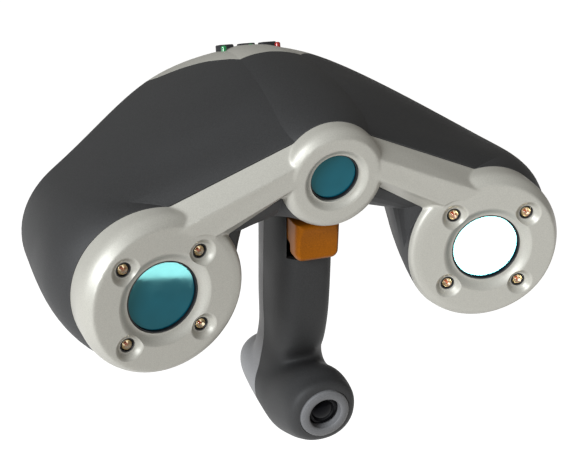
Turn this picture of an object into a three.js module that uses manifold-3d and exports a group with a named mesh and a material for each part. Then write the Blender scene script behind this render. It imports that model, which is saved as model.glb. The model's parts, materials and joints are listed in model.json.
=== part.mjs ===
// Handheld three-camera 3-D scanner: a winged head on a pistol grip with a laser in its foot.
// Millimetres, +Z up, -Y towards the scanned object. The origin is the middle of the hand grip.
import * as THREE from "three";
import { mergeVertices } from "three/addons/utils/BufferGeometryUtils.js";
import { RoundedBoxGeometry } from "three/addons/geometries/RoundedBoxGeometry.js";
import Module from "manifold-3d";

const wasm = await Module();
wasm.setup();

// ---------- driving dimensions ----------
const GAP = 0.3; // air between touching pieces
const WALL = 2.6; // wall of the moulded shells
const SCREW_SINK = 2.2; // screw heads sit this deep in their counterbores

const POD_X = 80; // outer cameras, left and right of the middle
const POD_FACE = { y: -54, z: 31.4 }; // middle of an outer camera's face
const TOE_IN = THREE.MathUtils.degToRad(12.4); // outer cameras look inwards
const POD_FACE_R = 34;
const POD_HOLE_R = 17.2;
const LED_OFFSET = 18.1; // lamps stand on a square round the lens, this far to each side
const LED_R = 2.5;
const FACE_PLATE = 4; // thickness of the frame's faces
const GLASS_SINK = 1.4; // filter glasses sit this deep in their collars

const MID_FACE = { y: -50, z: 75.3 }; // middle camera's face
const MID_TILT = THREE.MathUtils.degToRad(8.7); // it looks down a little
const MID_FACE_R = 20.8;
const MID_HOLE_R = 11.8;
const MID_RIM = { x: 0, z: 76, r: 24.7 };

const SEAM_Y = -43; // flat joint between the front frame and the dark head shell
const POD_RIM = { x: 80.7, z: 32, r: 38.5 };
const BACK_Y = 90; // the back of the head is flat in the middle
const BACK_FLAT = 28; // half width of that flat
const TIP = { x: 130, y: 41 }; // from there the back sweeps forwards to the wing tips
const BACK_ROUND = 7;
const UNDERSIDE_Z = 52; // belly of the head, where the handle joins it

const GRIP = { halfWidth: 15, front: -25, rear: 24.3, top: UNDERSIDE_Z - GAP };
const PARTING_Y = 3.5; // joint between the handle's two shells
const TOE = { y: -47, z: -49.2, r: 18 }; // front end of the foot, round the laser
const LASER_R = 13;

const TRIGGER = { width: 22.4, top: 47.3, bottom: 27.8, front: -33, padBack: -23.5 };
const TRIGGER_PIVOT = { y: -13, z: 43.2 };
const PIN_R = 1.5;

// ---------- materials ----------
function finish(color, roughness, metalness = 0) {
  return new THREE.MeshStandardMaterial({ color, roughness, metalness });
}
const silver = finish("#b9bbb6", 0.45, 0.3);
const darkShell = finish("#3f4042", 0.7);
const greyShell = finish("#97989a", 0.6);
const orange = finish("#a85c1e", 0.5);
const blackPlastic = finish("#121314", 0.5);
const filterGlass = finish("#1c5a70", 0.08, 0.2);
const clearLamp = finish("#e9dcc0", 0.1);
const board = finish("#1d5b33", 0.6);
const plate = finish("#a9adb2", 0.4, 0.9);
const steel = finish("#c4c6c9", 0.3, 1);
const greenLamp = finish("#2c9a4a", 0.3);
const redLamp = finish("#b3261e", 0.3);
const rubber = finish("#1f2022", 0.9);

// ---------- solids ----------
function toSolid(geometry) {
  const bare = geometry.index ? geometry.toNonIndexed() : geometry.clone();
  for (const name of Object.keys(bare.attributes)) {
    if (name !== "position") bare.deleteAttribute(name);
  }
  const merged = mergeVertices(bare, 1e-4);
  const solid = new wasm.Manifold(
    new wasm.Mesh({
      numProp: 3,
      vertProperties: merged.attributes.position.array,
      triVerts: new Uint32Array(merged.index.array),
    }),
  );
  return solid;
}

function toGeometry(solid) {
  const mesh = solid.getMesh();
  const geometry = new THREE.BufferGeometry();
  geometry.setAttribute("position", new THREE.BufferAttribute(mesh.vertProperties, 3));
  geometry.setIndex(new THREE.BufferAttribute(mesh.triVerts, 1));
  geometry.computeVertexNormals();
  return geometry;
}

function joined(...geometries) {
  return geometries.map(toSolid).reduce((sum, next) => sum.add(next));
}

// Closed solid through rings of points, with a fan from its middle over each end.
function loft(rings) {
  const count = rings[0].length;
  const last = (rings.length - 1) * count;
  const points = rings.flat();
  const index = [];
  for (let i = 0; i < count; i++) {
    const next = (i + 1) % count;
    for (let ring = 0; ring < last; ring += count) {
      const [a, b, c, d] = [ring + i, ring + next, ring + count + next, ring + count + i];
      index.push(a, b, c, a, c, d);
    }
    index.push(points.length, next, i, points.length + 1, last + i, last + next);
  }
  const middleOf = (ring) =>
    ring.reduce((sum, p) => sum.add(p), new THREE.Vector3()).divideScalar(count);
  points.push(middleOf(rings[0]), middleOf(rings[rings.length - 1]));
  const geometry = new THREE.BufferGeometry().setFromPoints(points);
  geometry.setIndex(index);
  return facingOut(geometry);
}

function facingOut(geometry) {
  const p = geometry.attributes.position;
  const corner = (i) => new THREE.Vector3().fromBufferAttribute(p, geometry.index.getX(i));
  let volume = 0;
  for (let i = 0; i < geometry.index.count; i += 3) {
    volume += corner(i).dot(corner(i + 1).cross(corner(i + 2)));
  }
  if (volume < 0) geometry.index.array.reverse();
  return geometry;
}

function circle(radius, y, steps) {
  return Array.from({ length: steps }, (_, i) => {
    const angle = (2 * Math.PI * i) / steps;
    return new THREE.Vector3(radius * Math.cos(angle), y, radius * Math.sin(angle));
  });
}

// Disc, cone or rod along Y, from yFront to yBack.
function rod(radiusFront, radiusBack, yFront, yBack, steps = 24) {
  const geometry = new THREE.CylinderGeometry(radiusBack, radiusFront, yBack - yFront, steps);
  return geometry.translate(0, (yFront + yBack) / 2, 0);
}

function tube(outer, inner, yFront, yBack, steps = 32) {
  const profile = [
    [inner, yFront],
    [outer, yFront],
    [outer, yBack],
    [inner, yBack],
    [inner, yFront],
  ].map(([r, y]) => new THREE.Vector2(r, y));
  return new THREE.LatheGeometry(profile, steps);
}

function block(width, depth, height, x, y, z) {
  return new THREE.BoxGeometry(width, depth, height).translate(x, y, z);
}

// ---------- scene graph ----------
const scanner = new THREE.Group();

function place(parent, name, shape, material) {
  const geometry = shape.isBufferGeometry ? shape : toGeometry(shape);
  const mesh = new THREE.Mesh(geometry, material);
  mesh.name = name;
  parent.add(mesh);
  return mesh;
}

function station(x, y, z, rotation = {}) {
  const group = new THREE.Group();
  group.position.set(x, y, z);
  group.rotation.set(rotation.x ?? 0, rotation.y ?? 0, rotation.z ?? 0);
  scanner.add(group);
  group.updateMatrixWorld(true);
  return group;
}

const SIDES = { left: -1, right: 1 };
const pods = {};
for (const [side, sign] of Object.entries(SIDES)) {
  pods[side] = station(sign * POD_X, POD_FACE.y, POD_FACE.z, { z: -sign * TOE_IN });
}
const middle = station(0, MID_FACE.y, MID_FACE.z, { x: MID_TILT });
const laser = station(0, TOE.y, TOE.z);

const inWorld = (group, geometry) => geometry.clone().applyMatrix4(group.matrixWorld);

// ---------- head: one body whose outline changes from front to back ----------
const ARC_STEPS = 12;
const BELLY_STEPS = 4;
const WING_SLOPE = -0.14;
const HEAD_STATIONS = [0, 0.03, 0.08, 0.16, 0.3, 0.48, 0.66, 0.84, 1]; // along the head, front to back
const mix = THREE.MathUtils.lerp;
const decay = (y, length) => Math.exp(-(y - SEAM_Y) / length);

function crestHeight(y) {
  const crestY = 38;
  const rise = 12 * ((crestY - Math.min(y, crestY)) / (crestY - SEAM_Y)) ** 2;
  const fall = 10 * ((Math.max(y, crestY) - crestY) / (BACK_Y - crestY)) ** 2;
  return 112.7 - rise - fall;
}

function backDepth(x) {
  const t = THREE.MathUtils.clamp((Math.abs(x) - BACK_FLAT) / (TIP.x - BACK_FLAT), 0, 1);
  return mix(BACK_Y, TIP.y, (1 - Math.cos(Math.PI * t)) / 2);
}

// Behind the rim the outside of a pod is a barrel that leans outwards and up. Its underside is a
// second barrel that grows smaller towards the back.
function podBarrel(y) {
  const outwards = 10.6 * (1 - decay(y, 12));
  const upwards = 3.4 * (1 - decay(y, 10)) - 0.065 * (y - SEAM_Y);
  return { x: POD_RIM.x + outwards, z: POD_RIM.z + upwards, r: POD_RIM.r };
}

function podUnderside(y) {
  const behind = y - SEAM_Y;
  const swell = 1 - decay(y, 6);
  const radius = POD_RIM.r + 3 * swell - 0.0012 * behind ** 2 - 0.03 * behind;
  return { x: POD_RIM.x + 3.5 * swell + 0.185 * behind, z: POD_RIM.z - 0.5 * swell, r: radius };
}

function onCircle(circle, angle) {
  return new THREE.Vector2(
    circle.x + circle.r * Math.cos(angle),
    circle.z + circle.r * Math.sin(angle),
  );
}

// Points of a quadratic curve, without its last one.
function curve(p0, p1, p2, steps) {
  return Array.from({ length: steps }, (_, i) => {
    const t = i / steps;
    return p0.clone().lerp(p1, t).lerp(p1.clone().lerp(p2, t), t);
  });
}

// Right half of the outline at one depth, from the crest round the pod to the belly.
function halfOutline(y) {
  const behind = y - SEAM_Y;
  const swell = decay(y, 6);
  const crown = decay(y, 30);
  const kink = decay(y, 20);
  const crest = new THREE.Vector2(0, crestHeight(y));
  const crease = new THREE.Vector2(21.5 - 0.064 * behind - 4 * swell, crest.y - 2.2 - 5.4 * crown);
  const barrel = podBarrel(y);
  const underside = podUnderside(y);
  const startAngle = THREE.MathUtils.degToRad(58 + 41 * decay(y, 14));
  const endAngle = THREE.MathUtils.degToRad(-165 - 49.6 * swell);
  const onArc = (angle) => {
    const lower = THREE.MathUtils.smoothstep(-angle, 0, Math.PI / 2);
    return onCircle(barrel, angle).lerp(onCircle(underside, angle), lower);
  };
  const shoulder = onArc(startAngle);

  // The wing leaves the crease at one slope and meets the pod's arc tangentially, but at the front
  // it is straight and meets the arc in a kink.
  const arcSlope = -1 / Math.tan(Math.max(startAngle, 0.2));
  const meetX =
    (crease.y - shoulder.y - WING_SLOPE * crease.x + arcSlope * shoulder.x) / (arcSlope - WING_SLOPE);
  const tangentMeet = new THREE.Vector2(meetX, crease.y + WING_SLOPE * (meetX - crease.x));
  const straight = crease.clone().lerp(shoulder, 0.5);
  const meets = meetX > crease.x && meetX < shoulder.x + 20;
  const wing = (meets ? tangentMeet : straight).lerp(straight, 0.97 * kink);

  const corner = new THREE.Vector2(33 + 0.31 * behind + 15.9 * swell, UNDERSIDE_Z - 2.5 + 6.1 * swell);
  const armRoot = new THREE.Vector2(23, UNDERSIDE_Z + 15.4 * swell);
  const points = [
    ...curve(crest, new THREE.Vector2(0.58 * crease.x, crest.y), crease, 3),
    ...curve(crease, wing, shoulder, 5),
  ];
  for (let i = 0; i <= ARC_STEPS; i++) points.push(onArc(mix(startAngle, endAngle, i / ARC_STEPS)));
  points.push(corner);
  // The belly is flat behind the frame, and round below the middle camera at the frame.
  for (let i = 0; i <= BELLY_STEPS; i++) {
    const t = i / BELLY_STEPS;
    const angle = THREE.MathUtils.degToRad(mix(-20.6, -90, t));
    const round = new THREE.Vector2(
      MID_RIM.r * Math.cos(angle),
      MID_RIM.z + MID_RIM.r * Math.sin(angle),
    );
    const flat = new THREE.Vector2(mix(armRoot.x, 0, t), UNDERSIDE_Z + 0.2 * Math.sin((Math.PI * t) / 2));
    points.push(flat.lerp(round, swell));
  }
  return points;
}

function outline(y, inset) {
  const right = halfOutline(y);
  const left = right
    .slice(1, -1)
    .reverse()
    .map((p) => new THREE.Vector2(-p.x, p.y));
  const loop = [...right, ...left];
  return loop.map((p, i) => {
    const before = loop[(i + loop.length - 1) % loop.length];
    const after = loop[(i + 1) % loop.length];
    const along = after.clone().sub(before).normalize();
    return new THREE.Vector3(p.x + along.y * inset, y, p.y - along.x * inset);
  });
}

// A ring on the head whose depth depends on x: each point slides along the head until it fits.
function sweptRing(depthAt, inset) {
  return outline(SEAM_Y, inset).map((start, i) => {
    let point = start;
    for (let round = 0; round < 6; round++) point = outline(depthAt(point.x), inset)[i];
    return point;
  });
}

// Prism over the plan of the head, up to its curved back.
function inFrontOf(depthAt) {
  const half = [0, BACK_FLAT, 36, 47, 58, 69, 80, 91, 102, 114, TIP.x, 145];
  const line = [...half.slice(1).reverse().map((x) => -x), ...half];
  const shape = new THREE.Shape(line.map((x) => new THREE.Vector2(x, depthAt(x))));
  shape.lineTo(145, -100);
  shape.lineTo(-145, -100);
  return toSolid(new THREE.ExtrudeGeometry(shape, { depth: 220, bevelEnabled: false }).translate(0, 0, -60));
}

// The body runs a little past the joint, where both of its parts are cut off flat.
function headBody(inset) {
  const rings = [outline(SEAM_Y, inset).map((p) => p.setY(SEAM_Y - 1))];
  for (const t of HEAD_STATIONS) {
    rings.push(sweptRing((x) => mix(SEAM_Y, backDepth(x) - BACK_ROUND, t), inset));
  }
  for (const angle of [25, 55, 85].map(THREE.MathUtils.degToRad)) {
    const depthAt = (x) => backDepth(x) - inset - BACK_ROUND * (1 - Math.sin(angle));
    rings.push(sweptRing(depthAt, inset + BACK_ROUND * (1 - Math.cos(angle))));
  }
  rings.push(rings[rings.length - 1].map((p) => p.clone().setY(BACK_Y + 5)));
  return toSolid(loft(rings)).intersect(inFrontOf((x) => backDepth(x) - inset));
}

const fullHead = headBody(0);
const headRoom = headBody(WALL);

// Everything behind the joint of head shell and rear cover. Seen from above the joint runs forwards
// to a tongue on the crest, and it meets the back where each wing begins.
function behindSeam(shift) {
  const half = [
    [0, 38.5],
    [16, 37],
    [24, 47],
    [32, 58],
    [41, 66],
    [50, 71],
    [58, 80],
    [145, 105],
  ];
  const line = [...half.slice(1).reverse().map(([x, y]) => [-x, y]), ...half];
  const shape = new THREE.Shape(line.map(([x, y]) => new THREE.Vector2(x, y + shift)));
  shape.lineTo(145, BACK_Y + 20);
  shape.lineTo(-145, BACK_Y + 20);
  return toSolid(new THREE.ExtrudeGeometry(shape, { depth: 220, bevelEnabled: false }).translate(0, 0, -60));
}

function slab(yFront, yBack) {
  return toSolid(block(300, yBack - yFront, 300, 0, (yFront + yBack) / 2, 30));
}

// ---------- front frame ----------
// Round housing of one camera: from a flat face over a slightly swelling wall to the rim on the joint.
function drum(group, faceRadius, rim, inset, rimY, faceDepth) {
  const steps = 28;
  const face = circle(faceRadius - inset, faceDepth, steps).map((p) => p.applyMatrix4(group.matrixWorld));
  const back = circle(rim.r - inset, rimY, steps).map((p) => p.add(new THREE.Vector3(rim.x, 0, rim.z)));
  const swell = face.map((p, i) => {
    const q = back[i];
    return new THREE.Vector3(mix(p.x, q.x, 0.82), mix(p.y, q.y, 0.3), mix(p.z, q.z, 0.82));
  });
  return toSolid(loft([face, swell, back]));
}

// Arm from the middle drum to one pod: a bar with a flat face and sloping sides that runs on into the pod.
function arm(sign, inset, rimY, faceDepth) {
  const face = [
    [19, -50.6, 84.2 - inset],
    [78, -52.7, 60.5 - inset],
    [70, -49.6, 49.2 + inset],
    [19, -50, 74.6 + inset],
  ];
  const rim = [
    [15, rimY, 94 - inset],
    [84, rimY, 66.4 - inset],
    [60, rimY, 46.7 + inset],
    [21, rimY, 68.9 + inset],
  ];
  const ring = (corners, shift) => corners.map(([x, y, z]) => new THREE.Vector3(sign * x, y + shift, z));
  return toSolid(loft([ring(face, faceDepth), ring(rim, 0)]));
}

function frameBody(inset, rimY, faceDepth) {
  let body = drum(middle, MID_FACE_R, MID_RIM, inset, rimY, faceDepth);
  for (const [side, sign] of Object.entries(SIDES)) {
    const rim = { ...POD_RIM, x: sign * POD_RIM.x };
    body = body.add(drum(pods[side], POD_FACE_R, rim, inset, rimY, faceDepth));
    body = body.add(arm(sign, inset, rimY, faceDepth));
  }
  return body;
}

const ledPlaces = [
  [-1, 1],
  [1, 1],
  [1, -1],
  [-1, -1],
].map(([a, b]) => ({ x: a * LED_OFFSET, z: b * LED_OFFSET }));

function frontFrame() {
  let frame = frameBody(0, SEAM_Y, 0).subtract(frameBody(WALL, SEAM_Y + 1, FACE_PLATE));
  const cut = (group, geometry) => {
    frame = frame.subtract(toSolid(inWorld(group, geometry)));
  };
  for (const group of Object.values(pods)) {
    cut(group, rod(POD_HOLE_R + 4.5, POD_HOLE_R, -0.01, 3.2, 24));
    cut(group, rod(POD_HOLE_R, POD_HOLE_R, 3, 6, 24));
    for (const { x, z } of ledPlaces) {
      cut(group, rod(6.4, 3.6, -0.01, 2.6, 12).translate(x, 0, z));
      cut(group, rod(3.6, 3.6, 2.5, 6, 12).translate(x, 0, z));
    }
  }
  cut(middle, rod(MID_HOLE_R + 2.2, MID_HOLE_R, -0.01, 2.2, 20));
  cut(middle, rod(MID_HOLE_R, MID_HOLE_R, 2, 6, 20));
  return frame;
}
place(scanner, "front_frame", frontFrame(), silver);

// ---------- head shell and rear cover ----------
const handleHole = toSolid(block(20, 24, 12, 0, 2, UNDERSIDE_Z));
const headShell = fullHead
  .subtract(headRoom)
  .subtract(behindSeam(-GAP / 2))
  .subtract(slab(SEAM_Y - 10, SEAM_Y + GAP))
  .subtract(handleHole);
place(scanner, "head_shell", headShell, darkShell);

// ---------- keypad and status lamps on the crest of the rear cover ----------
const KEYPAD_Y = 76;
const keypadSlope = Math.atan2(crestHeight(KEYPAD_Y + 10) - crestHeight(KEYPAD_Y - 10), 20);
const keypad = station(0, KEYPAD_Y, crestHeight(KEYPAD_Y), { x: keypadSlope });
const KEY_STEP = 12;
const KEY = { width: 8, depth: 8, height: 0.7 };
const keys = { minus: -KEY_STEP, mode: 0, plus: KEY_STEP };
const STATUS_R = 1.5;
const statusPlaces = { low: -15, ready: 0, high: 15 };
const STATUS_Y = -8.5;

const coverScrews = [-19, 19].map((x) => ({ x, z: 60 }));

function rearCover() {
  let cover = fullHead.subtract(headRoom).intersect(behindSeam(GAP / 2));
  const cut = (geometry) => {
    cover = cover.subtract(toSolid(inWorld(keypad, geometry)));
  };
  for (const x of Object.values(keys)) {
    cut(block(KEY.width + 2 * GAP, KEY.depth + 2 * GAP, 20, x, 0, 0));
  }
  for (const x of Object.values(statusPlaces)) {
    cut(rod(STATUS_R + GAP, STATUS_R + GAP, -10, 10, 12).rotateX(Math.PI / 2).translate(x, STATUS_Y, 0));
  }
  for (const { x, z } of coverScrews) {
    cover = cover.subtract(toSolid(rod(1.8, 1.8, BACK_Y - 8, BACK_Y + 1, 16).translate(x, 0, z)));
    cover = cover.subtract(toSolid(rod(3.3, 3.3, BACK_Y - SCREW_SINK, BACK_Y + 1, 16).translate(x, 0, z)));
  }
  return cover;
}

place(scanner, "rear_cover", rearCover(), silver);

function screw(head, shank, length) {
  const profile = [
    [0, 0],
    [shank, 0],
    [shank, length],
    [head, length],
    [head, length + 0.8],
    [head * 0.7, length + 1.6],
    [0, length + 1.6],
  ].map(([r, y]) => new THREE.Vector2(r, y));
  return new THREE.LatheGeometry(profile, 10);
}
coverScrews.forEach(({ x, z }, i) => {
  const length = 9;
  const shape = screw(3, 1.5, length).translate(x, BACK_Y - SCREW_SINK + GAP - length, z);
  place(scanner, "cover_screw_" + (i + 1), shape, steel);
});

for (const [name, x] of Object.entries(keys)) {
  const cap = new RoundedBoxGeometry(KEY.width, KEY.depth, 6, 1, 1.2);
  place(keypad, "button_" + name, cap.translate(x, 0, KEY.height - 3), rubber);
}
place(keypad, "keypad_board", block(36, 22, 1.6, 0, -3, -8), board);
for (const [name, x] of Object.entries(statusPlaces)) {
  const dome = new THREE.LatheGeometry(
    [
      [0, -5.2],
      [STATUS_R, -5.2],
      [STATUS_R, -0.8],
      [1.1, -0.1],
      [0, 0.1],
    ].map(([r, y]) => new THREE.Vector2(r, y)),
    10,
  );
  const lamp = name === "high" ? redLamp : greenLamp;
  place(keypad, "status_lamp_" + name, dome.rotateX(Math.PI / 2).translate(x, STATUS_Y, 0), lamp);
}

// ---------- cameras ----------
// A black collar with a lip in the frame's hole, the filter glass in it, and the camera behind.
function camera(group, name, holeRadius) {
  const glassRadius = holeRadius - 1.1;
  const lipFront = FACE_PLATE - 0.8;
  const seatFront = FACE_PLATE + GAP;
  const glassFront = lipFront + GLASS_SINK;
  const glassBack = glassFront + 2.4;
  const seatBack = glassBack + 0.6;
  const collar = [
    [glassRadius + GAP, lipFront],
    [holeRadius - GAP, lipFront],
    [holeRadius - GAP, seatFront],
    [holeRadius + 2.6, seatFront],
    [holeRadius + 2.6, seatBack],
    [glassRadius + GAP, seatBack],
    [glassRadius + GAP, lipFront],
  ].map(([r, y]) => new THREE.Vector2(r, y));
  place(group, "lens_ring_" + name, new THREE.LatheGeometry(collar, 24), blackPlastic);
  place(group, "lens_window_" + name, rod(glassRadius, glassRadius, glassFront, glassBack, 24), filterGlass);
  const barrelFront = seatBack + GAP;
  const barrelBack = barrelFront + 12;
  const barrel = rod(holeRadius - 1, holeRadius - 3, barrelFront, barrelBack, 16);
  place(group, "camera_barrel_" + name, barrel, blackPlastic);
  const side = 1.7 * holeRadius;
  const circuit = block(side, 1.6, side, 0, barrelBack + GAP + 0.8, 0);
  place(group, "camera_board_" + name, circuit, board);
}

function lamp(group, name, x, z) {
  const dome = new THREE.LatheGeometry(
    [
      [0, 1.4],
      [1.3, 1.8],
      [2.2, 2.7],
      [LED_R, 3.9],
      [LED_R, 8.4],
      [0, 8.4],
    ].map(([r, y]) => new THREE.Vector2(r, y)),
    10,
  );
  place(group, "lamp_" + name, dome.translate(x, 0, z), clearLamp);
  place(group, "lamp_seat_" + name, tube(3.3, 2.8, 2.9, 6, 10).translate(x, 0, z), blackPlastic);
}

for (const [side, group] of Object.entries(pods)) {
  camera(group, side, POD_HOLE_R);
  ledPlaces.forEach(({ x, z }, i) => lamp(group, side + "_" + (i + 1), x, z));
  place(group, "lamp_board_" + side, tube(30, 21.5, 8.8, 10.2, 20), board);
}
camera(middle, "middle", MID_HOLE_R);

// ---------- structure and electronics in the head ----------
function chassis() {
  const half = [
    [12, 56],
    [50, 54],
    [58, 22],
    [88, 18],
    [90, 42],
    [10, 88],
  ];
  const across = [...half, ...half.toReversed().map(([x, z]) => [-x, z])];
  const shape = new THREE.Shape(across.map(([x, z]) => new THREE.Vector2(x, z)));
  const geometry = new THREE.ExtrudeGeometry(shape, { depth: 3, bevelEnabled: false });
  return geometry.rotateX(Math.PI / 2).translate(0, -17, 0);
}
place(scanner, "chassis_plate", chassis(), plate);
place(scanner, "main_board", block(84, 1.6, 34, 0, 12, 76), board);

// ---------- handle and foot ----------
// Superellipse ring: half width and the front and rear reach from the middle of the section.
function section(halfWidth, first, second, place2d, power, steps = 24) {
  const centre = (first + second) / 2;
  const half = (second - first) / 2;
  return Array.from({ length: steps }, (_, i) => {
    const angle = (2 * Math.PI * i) / steps;
    const c = Math.cos(angle);
    const s = Math.sin(angle);
    const across = halfWidth * Math.sign(c) * Math.abs(c) ** (2 / power);
    const along = centre + half * Math.sign(s) * Math.abs(s) ** (2 / power);
    return place2d(across, along);
  });
}

function gripBody(inset, top) {
  const rings = [
    [top, GRIP.halfWidth, GRIP.front + 1.5, GRIP.rear + 2],
    [26, GRIP.halfWidth, GRIP.front, GRIP.rear],
    [-5, GRIP.halfWidth, GRIP.front + 0.5, GRIP.rear - 1],
    [-24, GRIP.halfWidth - 0.8, GRIP.front + 3, GRIP.rear - 1],
    [-34, GRIP.halfWidth - 0.4, -17, GRIP.rear],
    [-42, GRIP.halfWidth + 1, -18, GRIP.rear + 1],
    [-52, GRIP.halfWidth + 2.4, -18, GRIP.rear + 3],
  ];
  const ring = ([z, halfWidth, front, rear]) =>
    section(halfWidth - inset, front + inset, rear - inset, (x, y) => new THREE.Vector3(x, y, z), 3);
  return toSolid(loft(rings.map(ring)));
}

function footBody(inset) {
  const rings = [
    [TOE.y + inset, LASER_R + 1.2, TOE.z - LASER_R - 1.2, TOE.z + LASER_R + 1.2],
    [TOE.y + 2 + inset / 2, TOE.r - 1, TOE.z - TOE.r + 1, TOE.z + TOE.r - 1],
    [TOE.y + 6, TOE.r + 0.4, -68.6, TOE.z + TOE.r - 0.6],
    [-32, 19.3, -73.4, -30.5],
    [-16, 19.6, -79.5, -36],
    [2, 19.2, -80.5, -38],
    [20, 18.4, -80.2, -40],
    [34, 17, -78, -45],
    [41 - inset / 2, 14, -74.5, -51],
    [43.5 - inset, 9, -68.5, -57.5],
  ];
  const ring = ([y, halfWidth, low, high]) =>
    section(halfWidth - inset, low + inset, high - inset, (x, z) => new THREE.Vector3(x, y, z), 2.2);
  return toSolid(loft(rings.map(ring)));
}

const handleSolid = gripBody(0, GRIP.top).add(footBody(0));
const handleRoom = gripBody(WALL, GRIP.top + 1).add(footBody(WALL));
const handleWalls = handleSolid.subtract(handleRoom);

const INLET = { y: 33, z: -59 };
const dataInlet = { x: -6.2, width: 9, height: 7 };
const powerInlet = { x: 6.4, r: 4 };
const handleScrews = [{ z: 20 }, { z: -22 }];

function frontHandle() {
  const slot = block(TRIGGER.width + 1, 23, 27, 0, -19.5, TRIGGER.bottom - 2 + 13.5);
  const laserHole = inWorld(laser, rod(LASER_R + GAP, LASER_R + GAP, -5, 8, 32));
  return handleWalls
    .intersect(slab(-90, PARTING_Y - GAP / 2))
    .subtract(toSolid(slot))
    .subtract(toSolid(laserHole));
}
place(scanner, "handle_front_shell", frontHandle(), darkShell);

function rearHandle() {
  let shell = handleWalls.intersect(slab(PARTING_Y + GAP / 2, 90));
  const heel = toSolid(block(24, 12, 13, 0, 44.5, INLET.z));
  const heelWall = footBody(0).intersect(toSolid(block(30, 5.5, 19, 0, 35.75, INLET.z)));
  shell = shell.add(heelWall).subtract(heel);
  const inlets = joined(
    block(dataInlet.width + 2 * GAP, 20, dataInlet.height + 2 * GAP, dataInlet.x, 36, INLET.z),
    rod(powerInlet.r + GAP, powerInlet.r + GAP, 26, 46, 20).translate(powerInlet.x, 0, INLET.z),
  );
  shell = shell.subtract(inlets);
  for (const { z } of handleScrews) {
    shell = shell.subtract(toSolid(rod(3.3, 3.3, GRIP.rear - SCREW_SINK, GRIP.rear + 4, 16).translate(0, 0, z)));
    shell = shell.subtract(toSolid(rod(1.8, 1.8, GRIP.rear - 10, GRIP.rear, 16).translate(0, 0, z)));
  }
  return shell;
}
place(scanner, "handle_rear_shell", rearHandle(), greyShell);

handleScrews.forEach(({ z }, i) => {
  const length = 11;
  const shape = screw(3, 1.5, length).translate(0, GRIP.rear - SCREW_SINK + GAP - length, z);
  place(scanner, "handle_screw_" + (i + 1), shape, steel);
});

function dataSocket() {
  const shell = toSolid(block(dataInlet.width, 12, dataInlet.height, dataInlet.x, 32, INLET.z));
  const mouth = toSolid(block(dataInlet.width - 1.6, 8, dataInlet.height - 1.6, dataInlet.x, 35, INLET.z));
  return shell.subtract(mouth);
}
place(scanner, "data_inlet", dataSocket(), steel);

function powerSocket() {
  const profile = [
    [0, 26],
    [powerInlet.r, 26],
    [powerInlet.r, 38],
    [2.9, 38],
    [2.9, 30],
    [0.9, 30],
    [0.9, 37],
    [0, 37],
  ].map(([r, y]) => new THREE.Vector2(r, y));
  return new THREE.LatheGeometry(profile, 20).translate(powerInlet.x, 0, INLET.z);
}
place(scanner, "power_inlet", powerSocket(), blackPlastic);
place(scanner, "inlet_board", block(22, 1.6, 16, 0, 24.6, INLET.z), board);
place(scanner, "handle_board", block(16, 1.6, 60, 0, 8, -2), board);

// ---------- laser in the foot ----------
place(laser, "laser_bezel", laserBezel(), greyShell);
function laserBezel() {
  const profile = [
    [8.4, -1],
    [9.4, -1.6],
    [12, -1.4],
    [LASER_R, -0.2],
    [LASER_R, 6],
    [8.2, 6],
    [8.2, 2.2],
    [8.4, -1],
  ].map(([r, y]) => new THREE.Vector2(r, y));
  return new THREE.LatheGeometry(profile, 36);
}
function laserLens() {
  const profile = [
    [0, 0.6],
    [3.6, 1.1],
    [6, 2.2],
    [7.8, 2.6],
    [7.8, 5.6],
    [0, 5.6],
  ].map(([r, y]) => new THREE.Vector2(r, y));
  return new THREE.LatheGeometry(profile, 28);
}
place(laser, "laser_lens", laserLens(), filterGlass);
place(laser, "laser_module", rod(9.5, 9.5, 6.4, 23, 24), blackPlastic);
place(laser, "laser_board", block(18, 1.6, 14, 0, 24.4, 0), board);

// ---------- trigger ----------
function triggerLever() {
  const { width, top, bottom, front } = TRIGGER;
  const rear = TRIGGER_PIVOT.y + 3.4;
  const side = new THREE.Shape();
  side.moveTo(rear, top - 0.6);
  side.lineTo(front + 2.2, top);
  side.quadraticCurveTo(front, top, front + 0.1, top - 2);
  side.quadraticCurveTo(front + 1.6, (top + bottom) / 2, front + 0.6, bottom + 2.4);
  side.quadraticCurveTo(front + 0.4, bottom, front + 3, bottom + 0.2);
  side.lineTo(TRIGGER.padBack, bottom + 0.8);
  side.lineTo(TRIGGER.padBack + 0.4, bottom + 7);
  side.lineTo(rear, bottom + 10);
  const geometry = new THREE.ExtrudeGeometry(side, {
    depth: width - 2,
    bevelEnabled: true,
    bevelThickness: 1,
    bevelSize: 0.8,
    bevelOffset: -0.8,
    bevelSegments: 2,
    curveSegments: 4,
  });
  // The outline is drawn in (y, z) and swept along x.
  geometry.applyMatrix4(new THREE.Matrix4().set(0, 0, 1, 1 - width / 2, 1, 0, 0, 0, 0, 1, 0, 0, 0, 0, 0, 1));
  const hole = rod(PIN_R + 0.1, PIN_R + 0.1, -20, 20, 16)
    .rotateZ(Math.PI / 2)
    .translate(0, TRIGGER_PIVOT.y, TRIGGER_PIVOT.z);
  return toSolid(geometry).subtract(toSolid(hole));
}
place(scanner, "trigger", triggerLever(), orange);
const pinLength = 2 * (GRIP.halfWidth - WALL) - 4.2;
place(
  scanner,
  "trigger_pin",
  rod(PIN_R, PIN_R, -pinLength / 2, pinLength / 2, 16)
    .rotateZ(Math.PI / 2)
    .translate(0, TRIGGER_PIVOT.y, TRIGGER_PIVOT.z),
  steel,
);
place(scanner, "trigger_switch", block(12, 6, 12, 0, -8, 28), blackPlastic);

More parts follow.
